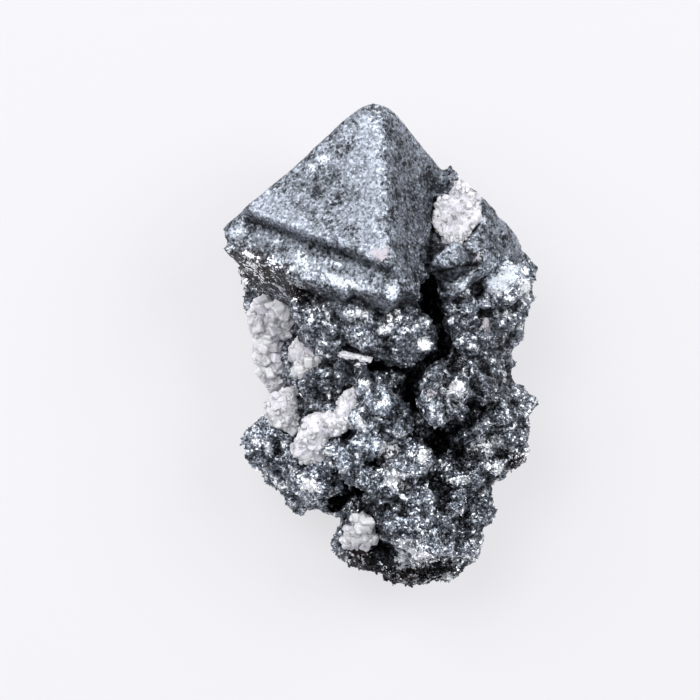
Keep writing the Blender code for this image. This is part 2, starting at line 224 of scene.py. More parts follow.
camera_data = bpy.data.cameras.new("camera")
camera_data.sensor_width = SENSOR
camera_data.lens = SENSOR * CAMERA_DISTANCE / FIELD_WIDTH
camera_data.clip_start = NEAREST
camera_data.clip_end = FARTHEST
camera = linked("camera", camera_data)
camera.location = AIM + Vector((0, 0, CRYSTAL_HEIGHT + CAMERA_DISTANCE))
bpy.context.scene.camera = camera
print("lens", round(camera_data.lens), "mm")

# %% [markdown]
# ## The hematite skin
#
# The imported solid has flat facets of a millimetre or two. On the real piece there is no facet that large
# below the big crystal: it is one continuous skin of tiny intergrown crystals. A voxel remesh turns the solid
# into an even net of small squares, which can then be softened and pushed in and out. A subdivision of the
# solid would pull its thin triangles into creases, so the remesh is the better start. Some small crystals
# that are too slight for the solid are added first, sunk about half in it, and the remesh melts them into the
# rest.

# %% An even net over the whole hematite
SKIN_CELL = 0.28 * MM
WELD_DISTANCE = 1e-7
ABOVE_ALL = 1.0  # m, rays start there and look down
EXTRA_CRYSTALS = (
    # centre and radius in mm: two under the right corner, two on the upper right edge
    (14.7, 8.6, 10.4, 2.0),
    (14.9, 5.2, 10.8, 2.0),
    (7.3, 17.5, 13.6, 1.3),
    (8.3, 16.4, 13.4, 1.0),
)
BLOCKY_CRYSTALS = (
    # x, y, radius and how far its middle stands out, in mm: the right crystal's side and the blocks below
    (5.8, -2.8, 1.3, 0.2),
    (5.2, -4.8, 1.4, 0.3),
    (7.9, -4.4, 1.5, 0.3),
    (6.0, -6.9, 2.2, 0.2),
    (8.2, -6.4, 1.3, 0.2),
    (9.3, -2.6, 1.6, 0.2),
    (10.7, -5.2, 1.3, 0.2),
    (9.6, -7.6, 2.1, 0.5),
    (13.0, -6.8, 2.4, -0.6),
    (11.3, 4.7, 2.0, 0.5),
    (12.2, 2.6, 1.8, 0.2),
    (13.7, -8.8, 1.9, -0.4),
    # the lump in the middle, the waist and the foot
    (0.2, -5.4, 2.4, -0.2),
    (-2.1, -7.4, 1.6, 0.0),
    (2.0, -8.2, 1.7, 0.0),
    (-0.8, -9.6, 2.6, 1.2),
    (-4.2, -10.6, 2.0, 0.2),
    (-2.6, -13.4, 1.7, 0.1),
    (-6.6, -13.8, 2.4, 0.0),
    (3.6, -15.0, 2.2, 0.0),
    (7.6, -16.4, 2.0, 0.0),
    (10.0, -13.4, 1.8, 0.0),
    (5.5, -20.3, 2.0, 0.0),
)


def welded_copy(node, name):
    """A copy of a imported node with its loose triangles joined."""
    shape = bmesh.new()
    shape.from_mesh(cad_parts[node].data)
    bmesh.ops.remove_doubles(shape, verts=shape.verts, dist=WELD_DISTANCE)
    mesh = bpy.data.meshes.new(name)
    shape.to_mesh(mesh)
    shape.free()
    return linked(name, mesh)


def evaluated_mesh(piece):
    """The mesh that an object's modifiers make, as a mesh of its own."""
    bpy.context.view_layer.update()
    graph = bpy.context.evaluated_depsgraph_get()
    return bpy.data.meshes.new_from_object(piece.evaluated_get(graph))


def remeshed(piece, cell):
    """The object, its mesh replaced by an even net of squares of about that size."""
    remesh = piece.modifiers.new("even_net", "REMESH")
    remesh.mode = "VOXEL"
    remesh.voxel_size = cell
    mesh = evaluated_mesh(piece)
    piece.modifiers.clear()
    old = piece.data
    piece.data = mesh
    bpy.data.meshes.remove(old)
    return piece


def add_octahedra(piece, places):
    """Adds octahedra in the shared orientation to a mesh, each given as centre and radius in mm."""
    shape = bmesh.new()
    shape.from_mesh(piece.data)
    axes = Matrix((TIP, LEFT, FRONT)).transposed().to_4x4()
    for *centre, radius in places:
        place = Matrix.Translation(Vector(centre) * MM) @ axes
        bmesh.ops.create_uvsphere(shape, u_segments=4, v_segments=2, radius=radius * MM, matrix=place)
    shape.to_mesh(piece.data)
    shape.free()


solid = bmesh.new()
solid.from_mesh(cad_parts["hematite_crystals"].data)
solid_tree = BVHTree.FromBMesh(solid)


def on_the_solid(x, y, lift):
    """The point that many mm over the show side of the solid, at x and y in mm."""
    spot = solid_tree.ray_cast(Vector((x * MM, y * MM, ABOVE_ALL)), Vector((0, 0, -1)))[0]
    return x, y, spot.z / MM + lift


start = welded_copy("hematite_crystals", "hematite_skin")
add_octahedra(start, EXTRA_CRYSTALS)
add_octahedra(start, [(*on_the_solid(x, y, lift), radius) for x, y, radius, lift in BLOCKY_CRYSTALS])
skin = remeshed(start, SKIN_CELL)
print("skin points:", len(skin.data.vertices))

# %% [markdown]
# The finish has to know for each point of the skin whether it lies on a smooth crystal face. A point does
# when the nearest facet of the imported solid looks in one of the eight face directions. The answer is then
# blurred over the neighbours, so that the change from smooth to rough is gradual.

# %% Which points lie on a crystal face
FACE_TOLERANCE = math.cos(math.radians(1.5))
ROUGH_BELOW = -2.5 * MM  # the front corner of the big crystal is the lowest smooth face
FACE_BLUR = 7  # rounds of averaging
ROUGH_UNTIL = 0.35
SMOOTH_AFTER = 0.5  # that much more makes a point fully smooth


class Net:
    """A mesh as arrays, with the means to average a value over neighbours."""

    def __init__(self, mesh):
        self.mesh = mesh
        count = len(mesh.vertices)
        edges = np.empty(len(mesh.edges) * 2, np.int32)
        mesh.edges.foreach_get("vertices", edges)
        self.edges = edges.reshape(-1, 2)
        self.count = count
        self.degree = np.bincount(edges, minlength=count).astype(float)

    def rows(self, name):
        """What each point has under that name, a row of three a point."""
        flat = np.empty(self.count * 3, np.float32)
        self.mesh.vertices.foreach_get(name, flat)
        return flat.reshape(-1, 3).astype(float)

    def points(self):
        return self.rows("co")

    def normals(self):
        return self.rows("normal")

    def move_to(self, points):
        self.mesh.vertices.foreach_set("co", points.astype(np.float32).ravel())
        self.mesh.update()

    def averaged(self, values, rounds):
        """Each value replaced by its neighbours' average, several times over."""
        a, b = self.edges.T
        columns = values.reshape(self.count, -1)
        for _ in range(rounds):
            total = np.stack(
                [
                    np.bincount(a, column[b], self.count) + np.bincount(b, column[a], self.count)
                    for column in columns.T
                ],
                axis=1,
            )
            columns = 0.5 * columns + 0.5 * total / self.degree[:, None]
        return columns.reshape(values.shape)

    def store(self, name, values):
        attribute = self.mesh.attributes.new(name, "FLOAT", "POINT")
        attribute.data.foreach_set("value", values.astype(np.float32))


solid_on_face = [
    max(facet.normal.dot(direction) for direction in FACE_NORMALS) > FACE_TOLERANCE
    and facet.calc_center_median().y > ROUGH_BELOW
    for facet in solid.faces
]
solid.free()

net = Net(skin.data)
nearest = [solid_tree.find_nearest(Vector(point))[2] for point in net.points()]
on_face = net.averaged(np.array([float(solid_on_face[index]) for index in nearest]), FACE_BLUR)
smooth_share = np.clip((on_face - ROUGH_UNTIL) / SMOOTH_AFTER, 0, 1)
print("share of the skin on crystal faces:", round(float(smooth_share.mean()), 2))

# %% [markdown]
# ## Relief
#
# Two kinds of relief lie over each other. The big faces only undulate by about a tenth of a millimetre, with
# shallow pits. The rough growth is made of crystals of 1 to 3 mm that stand parallel to the big ones, and of
# smaller flat facets. Noise gives the waves. Scattered points give the rest: around each of them stands the
# corner of an octahedron in the shared orientation, and in the cell around each lies a facet that leans its
# own way. The crystals could be modelled one by one, but there are thousands of them.

# %% Fields of waves, crystal corners and facets
LUMP = 2.8  # mm, size of the larger crystals of the rough growth
LUMP_RELIEF = 1.3
BLOCK = 2.1
BLOCK_RELIEF = 0.3
KNOT = 1.2  # mm, the small crystals on the larger ones
KNOT_RELIEF = 0.55
GRIT = 0.55
GRIT_RELIEF = 0.16
CORNER_REACH = 1.2  # that many sizes from its point, a corner has fallen from 1 to 0
CORNER_LEVEL = 0.45  # what is higher stands out of the surface, what is lower lies in it
WARP = 0.5  # how far the larger crystals are shifted out of line, in mm, and how often in a mm
RAGGED_RELIEF = 0.08
RAGGED_PER_MM = 1.9
RAGGED_LAYERS = (0.9, 2.1, 2)  # each layer's weakness and fineness over the one before, and their number
FACE_WAVE = 0.11
FACE_WAVES_PER_MM = 0.45
FACE_PIT = 0.15
FACE_PITS_PER_MM = 1.15
PIT_LEVEL = 0.1
WORN_FROM = 6.0  # mm, the crystal to the right of this is more worn
WORN_OVER = 2.0
WORN_WAVE = 0.35
WORN_WAVES_PER_MM = 0.6
WORN_BLOCK = 0.16
CELL_SPREAD = 57.3  # takes neighbouring points far apart, so that each draws a lean of its own
HALF = Vector((0.5, 0.5, 0.5))
NOISE_SEED = 4  # without one, the noise that gives directions starts from the clock

noise.seed_set(NOISE_SEED)


def pyramids(point, size):
    """A field of octahedron corners that all stand parallel: 1 at each scattered point, lower around it."""
    place = point / size
    _, seeds = noise.voronoi(place)
    heights = []
    for seed in seeds:
        away = place - seed
        steps = sum(abs(away.dot(axis)) for axis in (TIP, LEFT, FRONT))
        heights.append(1 - steps / CORNER_REACH)
    return max(heights)


def facets(point, size):
    """A field of flat facets: each cell holds a plane that leans its own way."""
    _, seeds = noise.voronoi(point / size)
    lean = (noise.cell_vector(seeds[0] * CELL_SPREAD) - HALF) * 2
    return (point / size - seeds[0]).dot(lean)


def rough_relief(point):
    """How far the rough growth stands out at a point, in mm."""
    shifted = point + WARP * noise.noise_vector(point * WARP)
    lumps = LUMP_RELIEF * (pyramids(shifted, LUMP) - CORNER_LEVEL)
    blocks = BLOCK_RELIEF * facets(shifted, BLOCK)
    knots = KNOT_RELIEF * (pyramids(point, KNOT) - CORNER_LEVEL)
    grit = GRIT_RELIEF * facets(point, GRIT)
    ragged = RAGGED_RELIEF * noise.fractal(point * RAGGED_PER_MM, *RAGGED_LAYERS)
    return lumps + blocks + knots + grit + ragged


def face_relief(point):
    """How far a smooth crystal face stands out at a point, in mm."""
    waves = FACE_WAVE * noise.noise(point * FACE_WAVES_PER_MM)
    pits = FACE_PIT * min(0.0, noise.noise(point * FACE_PITS_PER_MM) + PIT_LEVEL)
    worn = min(max((point.x - WORN_FROM) / WORN_OVER, 0), 1)
    worn_waves = WORN_WAVE * noise.noise(point * WORN_WAVES_PER_MM)
    return waves + pits + worn * (worn_waves + WORN_BLOCK * facets(point, BLOCK))


for kind in (rough_relief, face_relief):
    print(kind.__name__, "at the origin, in mm:", round(kind(Vector((0, 0, 0))), 2))

# %% [markdown]
# ## Where a piece of the surface is treated on its own
#
# Some places need their own treatment: a facet, a worn corner, a shining patch, a groove. Each is given as an
# ellipse or a line on the show side, in millimetres, with a soft rim. A painted map would do the same, but it
# would be a picture, and these few numbers can be read and changed.

# %% Ellipses and lines as shares from 0 to 1
FAR_AWAY = 1e9


def patch_share(points_mm, patches, softness):
    """How far inside the nearest patch each point lies: 1 at its middle, 0.5 on its rim, 0 outside."""
    share = np.zeros(len(points_mm))
    for x, y, half_length, half_width, turn in patches:
        angle = math.radians(turn)
        across = points_mm[:, 0] - x
        up = points_mm[:, 1] - y
        along = (across * math.cos(angle) + up * math.sin(angle)) / half_length
        aside = (up * math.cos(angle) - across * math.sin(angle)) / half_width
        reach = np.sqrt(along**2 + aside**2)
        share = np.maximum(share, np.clip(0.5 + (1 - reach) / softness, 0, 1))
    return share


def groove_share(points_mm, line, half_width):
    """1 on a line seen from the show side, falling to 0 at the half width."""
    flat = points_mm[:, :2]
    nearest_gap = np.full(len(flat), FAR_AWAY)
    for start, end in zip(np.array(line), np.array(line[1:])):
        run = end - start
        along = np.clip((flat - start) @ run / (run @ run), 0, 1)
        gap = np.linalg.norm(flat - start - along[:, None] * run, axis=1)
        nearest_gap = np.minimum(nearest_gap, gap)
    return np.clip(1 - nearest_gap / half_width, 0, 1)


# %% [markdown]
# ## Softening, the planed facet and the worn corners
#
# The remesh leaves small steps, so the net is softened first. The right crystal has one facet that is flat
# and bright like a mirror, with broken growth around it. The tip of the big crystal is full and blunt, and
# the corner of the right crystal is worn round. All of this is done before the relief, so the relief covers
# it too.

# %% The net before the relief
SOFTENING = 3  # rounds of averaging on the crystal faces
SOFTENING_OF_ROUGH = 4
FLAT_FACET = (12.6, 7.1, 2.5, 1.4, 25)  # x, y, half length and half width in mm, and turn in degrees
FLAT_FACET_RIM = 0.5
FLAT_FACET_HEIGHT = 16.6  # mm, at its middle
FLAT_FACET_RISE = (0.13, -0.18)  # to the right and towards the tip
FLAT_FACET_ABOVE = 13.0  # mm, what lies lower is not planed
LOOKS_UP_GAIN = 4.0  # with the level below it, keeps what looks sideways out of the facet
LOOKS_UP_LEVEL = 1.6
FACET_PATCH = (12.9, 7.0, 2.4, 1.2, 25)  # the part of it that stays smooth
FACET_PATCH_RIM = 0.4
WORN_CORNER = (13.3, 5.6, 3.6, 3.0, 10)
WORN_CORNER_RIM = 0.6
WORN_CORNER_SHARE = 0.85
SWELL = 0.75  # mm
SWELL_REACH = 11.0  # mm from the tip
SWELL_BLUR = 20
WORN_TIP = 3.4  # mm from the tip
RIGHT_CORNER = (15.3, 10.2, 12.5, 2.6)  # centre and reach in mm
ROUNDING = 60
ROUNDING_GAIN = 1.4

softened = net.averaged(net.points(), SOFTENING)
rough_softened = net.averaged(net.points(), SOFTENING_OF_ROUGH)
points = softened * smooth_share[:, None] + rough_softened * (1 - smooth_share[:, None])

# the facet at the right is planed flat, looking up, a little to the left and to the tip
looks_up = np.clip(net.averaged(net.normals(), 3)[:, 2] * LOOKS_UP_GAIN - LOOKS_UP_LEVEL, 0, 1)
in_facet = patch_share(points / MM, (FLAT_FACET,), FLAT_FACET_RIM)
share = net.averaged(in_facet * (points[:, 2] > FLAT_FACET_ABOVE * MM) * looks_up, 3)
on_patch = patch_share(points / MM, (FACET_PATCH,), FACET_PATCH_RIM)
in_corner = patch_share(points / MM, (WORN_CORNER,), WORN_CORNER_RIM)
smooth_share = smooth_share * (1 - WORN_CORNER_SHARE * in_corner * (1 - on_patch))
right_of_middle = points[:, 0] / MM - FLAT_FACET[0]
above_middle = points[:, 1] / MM - FLAT_FACET[1]
plane = FLAT_FACET_HEIGHT + FLAT_FACET_RISE[0] * right_of_middle + FLAT_FACET_RISE[1] * above_middle
points[:, 2] += share * (plane * MM - points[:, 2])

# the tip swells a little before it is rounded, and then the right corner is rounded too
tip = points[points[:, 1].argmax()].copy()
near_tip = np.clip(1 - np.linalg.norm(points - tip, axis=1) / MM / SWELL_REACH, 0, 1)
outwards = net.averaged(net.normals(), SWELL_BLUR)
points += outwards * (SWELL * near_tip * MM)[:, None]
well_rounded = net.averaged(points, ROUNDING)
for *corner, radius in ((*tip / MM, WORN_TIP), RIGHT_CORNER):
    away = np.linalg.norm(points / MM - np.array(corner), axis=1)
    share = np.clip(ROUNDING_GAIN * (1 - away / radius), 0, 1)[:, None]
    points = points * (1 - share) + well_rounded * share
net.move_to(points)
print("tip at", np.round(tip / MM, 1))

# %% [markdown]
# ## Pressing the relief in
#
# Each point moves along its normal by the relief of its kind: smooth, rough or a blend. Where two big
# crystals meet, a narrow groove is pressed in along a line. The small flats on which the specimen lies stay
# flat, and nothing leaves the box of the solids by more than a fifth of a millimetre.

# %% Relief and grooves
CALM_SIDES = 0.45  # share of the relief that upright walls go without
REST_FLAT = 0.25  # mm, the skin this close to the surface it lies on stays flat
REST_FADE = 0.5
GROOVE_ABOVE = 10.0  # mm, grooves only lie above this height
BOX_MARGIN = 0.2  # mm
GROOVES = (
    # lines of points in mm, with the half width and the depth of the groove
    (((6.0, 15.2), (5.7, 11.8), (5.3, 9.4), (5.0, 8.2), (5.5, 6.8)), 0.35, 0.6),
    (((5.6, 7.4), (8.4, 7.9), (10.6, 8.6)), 0.25, 0.35),
)


def relief_at(place, smooth):
    """The relief at a point of the skin, blended by how smooth it is there."""
    return smooth * face_relief(place) + (1 - smooth) * rough_relief(place)


normals = net.averaged(net.normals(), 2)
normals /= np.linalg.norm(normals, axis=1)[:, None]
relief = np.array([relief_at(Vector(point / MM), share) for point, share in zip(points, smooth_share)])
relief *= 1 - CALM_SIDES * (1 - np.abs(normals[:, 2]))
in_groove = np.zeros(net.count)
for line, half_width, depth in GROOVES:
    share = groove_share(points / MM, line, half_width) * (points[:, 2] > GROOVE_ABOVE * MM)
    relief -= depth * share
    in_groove = np.maximum(in_groove, share)
lying = np.clip(points[:, 2] / MM / REST_FLAT - REST_FADE, 0, 1)
points = points + normals * (relief * lying * MM)[:, None]
points[:, 2] = np.maximum(points[:, 2], 0)
low, high = (np.array(corner) for corner in cad_box)
points = np.clip(points, low - BOX_MARGIN * MM, high + BOX_MARGIN * MM)
net.move_to(points)
print("skin box in mm:", np.round(points.min(0) / MM, 1), np.round(points.max(0) / MM, 1))

# %% [markdown]
# ## Where sheen, glints and shade are painted into the colour, and where the crust lies
#
# Where facets of the piece flash almost white, the flash is painted into the colour: patches of painted
# sheen, with an unbroken painted glint at their hearts. A dark warm brown is painted as shade on the
# sheltered face under the left edge and on the foot, and a thin crust dulls a few spots. All are given as
# ellipses in
# millimetres: centre, half length, half width and turn in degrees. The last list paints shade and light into
# the
# colour: it says how much light is left in a place, because the dark valleys of the real piece are deeper
# than those of the skin.

# %% Patches of painted sheen, painted brown shade, crust and painted shade
PAINTED_SHEEN_FIELDS = (
    # painted sheen on the upper left face: a pale field low on the left, and the strip beside the middle edge
    (-10.6, 13.9, 1.9, 1.4, -40),
    (-8.2, 12.2, 1.5, 0.9, -30),
    (-1.1, 20.5, 1.0, 3.0, -6),
    (-0.9, 15.5, 0.9, 3.6, -2),
    (-2.6, 17.6, 0.9, 1.5, 10),
    (-3.4, 13.2, 1.2, 0.9, 0),
    (-0.8, 10.9, 0.8, 1.6, 10),
)
# painted sheen with a painted glint at its heart, where facets flash almost white
PAINTED_SHEEN_PATCHES = (
    # the lower tier of the big crystal, from the left corner to the front corner
    (-14.2, 11.7, 0.7, 0.4, 0),
    (-13.9, 13.1, 0.7, 0.3, 70),
    (-12.2, 11.4, 0.4, 0.3, 0),
    (-10.2, 10.7, 0.4, 0.3, 30),
    (-13.2, 9.4, 0.5, 0.2, -28),
    (-7.7, 8.5, 1.6, 0.9, -50),
    (-4.5, 8.4, 1.3, 0.25, -14),
    (-3.7, 6.6, 3.0, 0.55, -17),
    (1.3, 5.8, 0.6, 0.8, 0),
    (0.0, 9.4, 1.0, 0.6, 60),
    # the upper left face
    (-6.8, 18.2, 0.5, 0.6, 0),
    (-5.6, 19.0, 0.7, 0.4, 20),
    # the right crystal and its far facet
    (12.9, 7.1, 2.4, 1.15, 26),
    (15.2, 5.7, 0.5, 1.3, 0),
    (8.6, 5.8, 0.6, 0.7, 30),
    # under the front corner
    (1.2, 2.6, 1.4, 0.7, 65),
    (-1.8, 3.4, 0.6, 0.5, 0),
    (4.7, 0.2, 0.6, 0.8, 0),
    # the round group and the right foot
    (7.7, -4.4, 0.9, 0.8, 0),
    (10.8, -10.1, 1.8, 0.8, 8),
    (8.5, -13.8, 1.0, 0.4, 0),
    (12.5, -12.4, 0.5, 0.8, 0),
    # the middle
    (1.1, -10.3, 0.9, 0.8, 20),
    (4.7, -11.0, 0.5, 0.8, 0),
    (2.0, -13.7, 1.1, 0.9, 0),
    (-1.8, -8.0, 0.4, 0.5, 0),
    # the left foot and the bottom block
    (-11.3, -10.8, 0.4, 0.7, 0),
    (-7.1, -14.2, 0.9, 0.5, 0),
    (3.4, -21.2, 1.6, 1.2, -50),
    (7.2, -24.0, 0.7, 0.5, 0),
)
# painted shade: a dark warm brown on sheltered faces that look away from the light
PAINTED_BROWN_SHADES = (
    (-12.2, 7.6, 3.6, 1.6, -28),
    (-8.4, 5.6, 2.4, 0.9, -25),
    (3.5, -23.6, 5.2, 1.5, 0),
    (14.1, -11.7, 1.6, 0.7, 0),
    (-1.5, -21.5, 1.8, 2.0, 0),
)
CRUST_SPOTS = (
    (0.1, 9.3, 1.0, 0.8, 20),
    (11.1, 2.2, 0.5, 0.9, 10),
    (5.2, -4.8, 0.7, 0.35, 10),
    (5.5, -12.3, 0.5, 0.5, 0),
    (9.6, 13.0, 0.4, 0.4, 0),
    (10.3, 9.2, 0.3, 0.4, 0),
)
SHADES = (
    # painted shade in dark valleys and sheltered places: how much of the light is left there
    (-5.4, -3.6, 2.8, 1.5, 0, 0.85),
    (2.0, -2.7, 2.6, 1.1, -20, 0.3),
    (3.4, -5.0, 0.9, 2.2, 0, 0.35),
    (6.5, -9.8, 1.0, 2.2, 0, 0.6),
    (8.9, -6.6, 2.0, 1.2, 0, 0.6),
    (-1.9, -15.5, 1.9, 1.8, 0, 0.35),
    (12.7, -11.2, 0.8, 1.2, 0, 0.4),
    (1.0, -19.6, 1.6, 1.4, 0, 0.5),
    (8.0, -19.2, 1.6, 0.9, 0, 0.55),
    (9.0, 8.2, 1.5, 0.8, 15, 0.5),
    (8.0, 1.5, 1.6, 1.4, 0, 0.6),
    (13.0, -2.5, 2.5, 1.6, 0, 0.75),
    (3.0, -23.7, 6.5, 1.7, 0, 0.3),
    (-2.4, -6.0, 2.6, 1.8, 0, 1.2),
    (8.4, -9.6, 2.4, 1.2, -20, 0.7),
    (12.2, -14.6, 3.0, 1.6, 0, 0.7),
    (13.0, -8.6, 2.4, 2.6, 0, 0.75),
    # painted light on lumps and on the far facet of the right crystal
    (-3.2, -12.1, 1.9, 1.9, 0, 1.8),
    (-11.4, -9.8, 2.0, 2.6, 0, 1.15),
    (-7.2, -14.6, 2.8, 1.5, -15, 1.4),
    (0.2, -7.4, 3.4, 2.4, 0, 1.75),
    (-0.6, -12.0, 4.6, 2.4, 0, 1.15),
    (-8.6, -1.0, 3.0, 2.0, 0, 1.2),
    (3.1, -15.6, 3.6, 2.0, 0, 1.35),
    (7.0, -5.2, 2.8, 2.4, 0, 1.2),
    (6.1, -21.6, 3.0, 0.9, 0, 1.4),
    (12.9, 7.1, 2.5, 1.2, 26, 1.7),
)


print("patches of lustre:", len(PAINTED_SHEEN_PATCHES) + len(PAINTED_SHEEN_FIELDS), "shades:", len(SHADES))

# %% [markdown]
# ## What the material and the small crystals need to know
#
# Every point of the skin now gets its shares: how much painted sheen, painted glint, painted brown shade,
# crust and painted shade, how deep it lies in a hollow, which paints more shade, and how many small crystals
# may grow there. They are stored on the mesh itself, so the material reads them by name and nothing depends
# on a picture.

# %% Shares stored on the skin
SHOW_SIDE = 5.0  # mm, patches only lie above this height, and are whole this much higher
SHOW_SIDE_OVER = 2.0
PAINTED_SHEEN_RIM = 0.9
PAINTED_GLINT_RIM = 2.0
PAINTED_BROWN_RIM = 1.5
CRUST_RIM = 1.6
SHADE_RIM = 1.4
UPPER_LEFT_FROM = 0.85  # cosine of the angle to the upper left face, and how much more counts fully
UPPER_LEFT_OVER = 0.1
FLECKS_RIGHT = 0.82  # of the flecks on the upper left faces
FLECKS_ROUGH = 0.8
PAINTED_GLINT_ON_ROUGH_SHARE = 0.82
CALM_ABOVE = -11.0  # mm, from here to the tip the rough growth sparkles less
CALM_OVER = 5.0
CALM_SHARE = 0.9
FEWER_ON_WALLS = 0.7  # share of the small crystals that upright walls go without, for a clean outline
NEAR_HOLLOW = 0.8  # weight of the narrow hollows, and the rounds of averaging that find them
NEAR_ROUNDS = 30
WIDE_HOLLOW = 0.5
WIDE_ROUNDS = 220
FLAT_HOLLOW = 0.5  # the value of a point that lies neither in a hollow nor on a hump
FLOOR_CLEARANCE = 0.6  # mm, no crystals grow where the specimen lies on the floor
FLOOR_OVER = 0.4
BARE_TIP = 21.0  # mm, no octahedra grow from here to the tip
BARE_TIP_OVER = 1.5
PLATES_LEAST = 0.25
PLATES_OVER = 16.0  # mm towards the base in which the share of plates grows by 1


def ramp(values, start, over):
    """0 up to the start, then rising to 1."""
    return np.clip((values - start) / over, 0, 1)


def depth_below(rounds):
    """How far the average of its surroundings lies outside each point, in mm: more than 0 in a hollow."""
    towards = net.averaged(net.points(), rounds) - net.points()
    return np.einsum("ij,ij->i", towards, smooth_normals) / MM


points_mm = net.points() / MM
skin_normals = net.normals()
smooth_normals = net.averaged(skin_normals, 3)
on_show_side = ramp(points_mm[:, 2], SHOW_SIDE, SHOW_SIDE_OVER)
seen = np.clip(skin_normals[:, 2] * 2, 0, 1) * on_show_side
# painted sheen and glints lie in the listed patches on faces that look up, and a warm brown is painted as
# shade
lustre = patch_share(points_mm, PAINTED_SHEEN_PATCHES + PAINTED_SHEEN_FIELDS, PAINTED_SHEEN_RIM) * seen
painted_glint_share = PAINTED_GLINT_ON_ROUGH_SHARE + (1 - PAINTED_GLINT_ON_ROUGH_SHARE) * smooth_share
brown = patch_share(points_mm, PAINTED_BROWN_SHADES, PAINTED_BROWN_RIM)

# painted flecks of sheen cover the upper left faces, which throw the key light back, and a little less of the
# others and of the rough growth
to_upper_left = ramp(skin_normals @ np.array(FACE_NORMALS[0]), UPPER_LEFT_FROM, UPPER_LEFT_OVER)
flecks = smooth_share * (FLECKS_RIGHT + (1 - FLECKS_RIGHT) * to_upper_left)
flecks = net.averaged(flecks + (1 - smooth_share) * FLECKS_ROUGH, 3)

# painted shade and light: the listed shades, and a darker colour in hollows and in the grooves
shade = np.ones(net.count)
for *patch, factor in SHADES:
    shade *= 1 + (factor - 1) * patch_share(points_mm, (patch,), SHADE_RIM)
hollow = NEAR_HOLLOW * depth_below(NEAR_ROUNDS) + WIDE_HOLLOW * depth_below(WIDE_ROUNDS)
hollow = hollow * (1 - 0.5 * smooth_share) + FLAT_HOLLOW + 0.5 * in_groove
calm = np.maximum(smooth_share, CALM_SHARE * ramp(points_mm[:, 1], CALM_ABOVE, CALM_OVER))

clear_of_floor = ramp(points_mm[:, 2], FLOOR_CLEARANCE, FLOOR_OVER)
at_tip = ramp(points_mm[:, 1], BARE_TIP, BARE_TIP_OVER)
fewer_on_walls = 1 - FEWER_ON_WALLS * (1 - np.abs(skin_normals[:, 2])) * on_show_side
rough_and_clear = (1 - smooth_share) * clear_of_floor
towards_base = np.clip(PLATES_LEAST - points_mm[:, 1] / PLATES_OVER, PLATES_LEAST, 1)
SHARES = {
    "lustre": lustre,
    "film": patch_share(points_mm, PAINTED_SHEEN_PATCHES, PAINTED_GLINT_RIM) * seen * painted_glint_share,
    "flecks": flecks,
    "brown": brown,
    "crust": patch_share(points_mm, CRUST_SPOTS, CRUST_RIM) * seen,
    "hollow": np.clip(hollow, 0, 1),
    "smooth_share": smooth_share,
    "calm": calm,
    "shade": shade * on_show_side + 1 - on_show_side,
    "tone": np.full(net.count, 0.5),
    "rough_where": rough_and_clear * (1 - 0.5 * calm) * (1 - at_tip) * fewer_on_walls,
    "plate_where": rough_and_clear * towards_base * fewer_on_walls,
    "face_where": smooth_share * clear_of_floor,
}
for name, values in SHARES.items():
    net.store(name, values)
print("points with lustre:", int((lustre > 0.5).sum()), "with stain:", int((brown > 0.5).sum()))
print("hollow, from its 5th to its 95th hundredth:", np.round(np.percentile(hollow, (5, 25, 50, 75, 95)), 2))

# %% [markdown]
# ## The material: hematite
#
# Hematite is an iron oxide with a metallic, steel-grey lustre. A piece like this is not polished. Each grain
# of 0.1 to 0.3 mm is a small mirror that looks its own way, so the eye sees a mix of bright and dark specks
# that changes as the piece is turned. A bump map can't do that: it only bends the light smoothly. Here a cell
# pattern gives every grain one random direction of its own, which tilts the normal as a whole.
# On top of that, sheen, glints and shade are painted into the colour where the mesh stores them.

# %% Hematite
GRAIN = 0.27  # mm, one mirror-like grain
FINE_GRAIN = 0.16
TONE_GRAIN = 0.22
FINE_CLOUD = 0.42
WIDE_CLOUD = 1.5
GRAIN_TILT = 0.85  # how far grains lean on the rough growth
FINE_TILT = 0.6  # of that, for the finer grains
LEAN_ON_FACE = 0.55  # of that, on the crystal faces
ROUGHNESS = 0.36
FACE_ROUGHNESS = 0.46
GRAIN_TONES = (0.5, 1.5)  # from the darkest to the lightest grain
METAL = (0.95, 0.15)  # how metallic the bare surface is, and the crust or the painted glint
PAINTED_SHEEN_CUT = (1.11, 1.14)  # levels between which each thing begins
PAINTED_GLINT_CUT = (2.27, 2.29)
CRUST_CUT = (1.6, 2.0)
GREY_RANGE = (0.86, 1.08)
HOLLOW_RANGE = (0.15, 0.9)
HOLLOW_LIGHT = (1.4, 0.12)  # how light a hump is, and a deep hollow
HEMATITE_DARK = "393b40"
HEMATITE_LIGHT = "7f848c"
# colours of the painted sheen and the painted glint, and the brown of the painted shade
PAINTED_SHEEN_ON_FACE = "9298a2"
PAINTED_SHEEN_ON_ROUGH = "e6eaf0"
PAINTED_SHADE_BROWN = "2c2423"
PAINTED_GLINT_ON_FACE = "d3d9df"
PAINTED_GLINT_ON_ROUGH = "f8fafc"
CRUST_PALE = "b4aeb5"


def leaning(tree, position, size, amount):
    """A random direction that is the same all over one grain, to be added to the normal."""
    inputs = {0: cells(tree, position, size)["Color"], 1: HALF}
    centred = add_node(tree, "ShaderNodeVectorMath", {"operation": "SUBTRACT"}, inputs).outputs[0]
    return scaled(tree, centred, amount)


